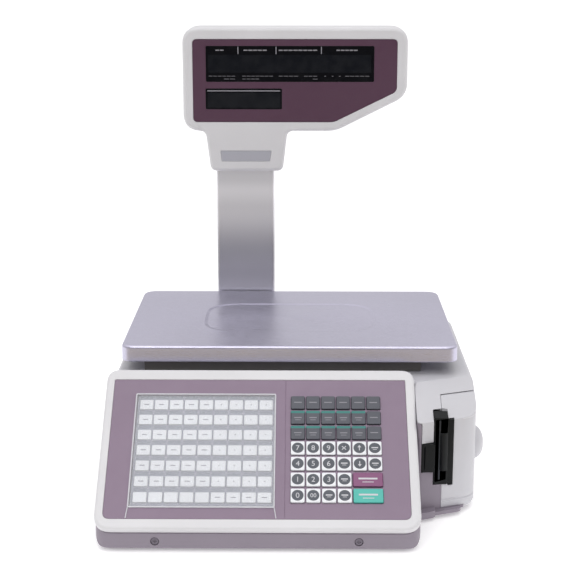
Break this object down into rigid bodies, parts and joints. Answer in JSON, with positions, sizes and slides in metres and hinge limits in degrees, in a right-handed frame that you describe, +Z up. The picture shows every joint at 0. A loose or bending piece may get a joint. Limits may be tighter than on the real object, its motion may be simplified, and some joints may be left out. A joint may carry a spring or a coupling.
{
  "type": "label printing scale",
  "caption": "Counter-top label printing scale: sloped keyboard console, stainless platter on a load cell, side label printer behind a hinged door, and a display head on a rear pole.",
  "frame": {"origin": "centre of the bounding box's plan, at the height of the counter under the feet", "axes": "+Z up, along the pole; -Y towards the operator, out of the console; +X to the operator's right, towards the printer door"},
  "size_m": [0.423, 0.4686, 0.5113],
  "materials": {
    "housing_light": "fine satin moulded plastic",
    "housing_mauve": "fine satin moulded plastic",
    "bezel_white": "smooth moulded plastic",
    "dark_panel": "printed film overlay",
    "display_window": "smoked display lens",
    "clear_cover": "clear flexible sheet",
    "label_card": "printed card",
    "white_key": "smooth key tops",
    "dark_key": "smooth key tops",
    "magenta_key": "smooth key top",
    "teal_key": "smooth key top",
    "black_plastic": "moulded plastic",
    "gear_plastic": "moulded acetal",
    "rubber": "smooth rubber",
    "screw_dark": "dark coated screw",
    "stainless": "satin stainless steel",
    "sheet_steel": "zinc plated sheet",
    "aluminium": "machined",
    "pole_paint": "satin silver grey paint",
    "paper": "coated label paper",
    "circuit_board": "solder mask"
  },
  "bodies": {
    "base": {"base_frame": "sheet_steel", "console_bezel": "bezel_white", "display_circuit_board": "circuit_board", "door_hinge_pin": "stainless", "feed_motor": "sheet_steel", "front_screw_left": "screw_dark", "front_screw_right": "screw_dark", "function_key_mat": "dark_key", "head_fascia": "dark_panel", "head_front_housing": "bezel_white", "head_label_plate": "label_card", "head_rear_cover": "bezel_white", "hotkey_cover": "clear_cover", "hotkey_label_card": "label_card", "hotkey_mat": "white_key", "keyboard_fascia": "housing_mauve", "label_outlet": "black_plastic", "load_cell": "aluminium", "load_cell_base": "aluminium", "lower_housing": "housing_mauve", "main_board": "circuit_board", "main_display_window": "display_window", "mechanism_frame": "sheet_steel", "platter_support": "sheet_steel", "pole": "pole_paint", "pole_bracket": "housing_light", "power_inlet": "black_plastic", "power_supply": "aluminium", "rear_display_window": "display_window", "rear_fascia": "dark_panel", "roll_spindle": "black_plastic", "sub_display_window": "display_window", "tear_bar": "stainless", "upper_housing": "housing_light"},
    "platter": {"platter": "stainless"},
    "printer_door": {"printer_door": "housing_light"},
    "door_handle": {"door_handle": "housing_light"},
    "print_head": {"print_head": "aluminium"},
    "platen": {"platen_roller": "rubber", "platen_gear": "gear_plastic"},
    "motor_pinion": {"motor_pinion": "aluminium"},
    "label_roll": {"label_roll": "paper"},
    "rewind_spool": {"rewind_spool": "black_plastic"},
    "power_switch": {"power_switch": "black_plastic"},
    "foot_front_left": {"foot_front_left": "rubber"},
    "foot_front_right": {"foot_front_right": "rubber"},
    "foot_rear_left": {"foot_rear_left": "rubber"},
    "foot_rear_right": {"foot_rear_right": "rubber"},
    "key_7": {"key_7": "white_key"},
    "key_8": {"key_8": "white_key"},
    "key_9": {"key_9": "white_key"},
    "key_4": {"key_4": "white_key"},
    "key_5": {"key_5": "white_key"},
    "key_6": {"key_6": "white_key"},
    "key_1": {"key_1": "white_key"},
    "key_2": {"key_2": "white_key"},
    "key_3": {"key_3": "white_key"},
    "key_0": {"key_0": "white_key"},
    "key_print": {"key_print": "magenta_key"},
    "key_confirm": {"key_confirm": "teal_key"}
  },
  "joints": [
    {"name": "platter_lift", "type": "slide", "parent": "base", "child": "platter", "axis": [0, 0, 1], "range_m": [0, 0.06]},
    {"name": "printer_door_hinge", "type": "hinge", "parent": "base", "child": "printer_door", "pos_m": [0.1922, 0.018, 0.07], "axis": [0, 0, 1], "range_deg": [0, 100]},
    {"name": "door_handle_turn", "type": "hinge", "parent": "printer_door", "child": "door_handle", "pos_m": [0.2, -0.062, 0.06], "axis": [1, 0, 0], "range_deg": [0, 90]},
    {"name": "print_head_release", "type": "hinge", "parent": "base", "child": "print_head", "pos_m": [0.146, -0.092, 0.07], "axis": [0, 0, -1], "range_deg": [0, 20]},
    {"name": "platen_spin", "type": "hinge", "parent": "base", "child": "platen", "pos_m": [0.1605, -0.113, 0.07], "axis": [0, 0, 1], "continuous": true},
    {"name": "motor_pinion_spin", "type": "hinge", "parent": "base", "child": "motor_pinion", "pos_m": [0.17029, -0.10371, 0.036], "axis": [0, 0, 1], "continuous": true},
    {"name": "label_roll_spin", "type": "hinge", "parent": "base", "child": "label_roll", "pos_m": [0.146, -0.034, 0.076], "axis": [0, 0, 1], "continuous": true},
    {"name": "rewind_spool_spin", "type": "hinge", "parent": "base", "child": "rewind_spool", "pos_m": [0.092, -0.055, 0.06], "axis": [0, 0, 1], "continuous": true},
    {"name": "power_switch_rock", "type": "hinge", "parent": "base", "child": "power_switch", "pos_m": [0.099, 0.174, 0.032], "axis": [1, 0, 0], "range_deg": [0, 14]},
    {"name": "foot_front_left_turn", "type": "hinge", "parent": "base", "child": "foot_front_left", "pos_m": [-0.185, -0.205, 0.01], "axis": [0, 0, 1], "continuous": true},
    {"name": "foot_front_right_turn", "type": "hinge", "parent": "base", "child": "foot_front_right", "pos_m": [0.1, -0.205, 0.01], "axis": [0, 0, 1], "continuous": true},
    {"name": "foot_rear_left_turn", "type": "hinge", "parent": "base", "child": "foot_rear_left", "pos_m": [-0.185, 0.155, 0.01], "axis": [0, 0, 1], "continuous": true},
    {"name": "foot_rear_right_turn", "type": "hinge", "parent": "base", "child": "foot_rear_right", "pos_m": [0.172, 0.155, 0.01], "axis": [0, 0, 1], "continuous": true},
    {"name": "key_7_press", "type": "slide", "parent": "base", "child": "key_7", "axis": [0, 0.6428, -0.766], "range_m": [0, 0.0011], "stiffness_N_per_m": 400, "springref_m": -0.001},
    {"name": "key_8_press", "type": "slide", "parent": "base", "child": "key_8", "axis": [0, 0.6428, -0.766], "range_m": [0, 0.0011], "stiffness_N_per_m": 400, "springref_m": -0.001},
    {"name": "key_9_press", "type": "slide", "parent": "base", "child": "key_9", "axis": [0, 0.6428, -0.766], "range_m": [0, 0.0011], "stiffness_N_per_m": 400, "springref_m": -0.001},
    {"name": "key_4_press", "type": "slide", "parent": "base", "child": "key_4", "axis": [0, 0.6428, -0.766], "range_m": [0, 0.0011], "stiffness_N_per_m": 400, "springref_m": -0.001},
    {"name": "key_5_press", "type": "slide", "parent": "base", "child": "key_5", "axis": [0, 0.6428, -0.766], "range_m": [0, 0.0011], "stiffness_N_per_m": 400, "springref_m": -0.001},
    {"name": "key_6_press", "type": "slide", "parent": "base", "child": "key_6", "axis": [0, 0.6428, -0.766], "range_m": [0, 0.0011], "stiffness_N_per_m": 400, "springref_m": -0.001},
    {"name": "key_1_press", "type": "slide", "parent": "base", "child": "key_1", "axis": [0, 0.6428, -0.766], "range_m": [0, 0.0011], "stiffness_N_per_m": 400, "springref_m": -0.001},
    {"name": "key_2_press", "type": "slide", "parent": "base", "child": "key_2", "axis": [0, 0.6428, -0.766], "range_m": [0, 0.0011], "stiffness_N_per_m": 400, "springref_m": -0.001},
    {"name": "key_3_press", "type": "slide", "parent": "base", "child": "key_3", "axis": [0, 0.6428, -0.766], "range_m": [0, 0.0011], "stiffness_N_per_m": 400, "springref_m": -0.001},
    {"name": "key_0_press", "type": "slide", "parent": "base", "child": "key_0", "axis": [0, 0.6428, -0.766], "range_m": [0, 0.0011], "stiffness_N_per_m": 400, "springref_m": -0.001},
    {"name": "key_print_press", "type": "slide", "parent": "base", "child": "key_print", "axis": [0, 0.6428, -0.766], "range_m": [0, 0.0011], "stiffness_N_per_m": 400, "springref_m": -0.001},
    {"name": "key_confirm_press", "type": "slide", "parent": "base", "child": "key_confirm", "axis": [0, 0.6428, -0.766], "range_m": [0, 0.0011], "stiffness_N_per_m": 400, "springref_m": -0.001}
  ],
  "couplings": [
    {"joint": "motor_pinion_spin", "follows": "platen_spin", "ratio": -2}
  ]
}
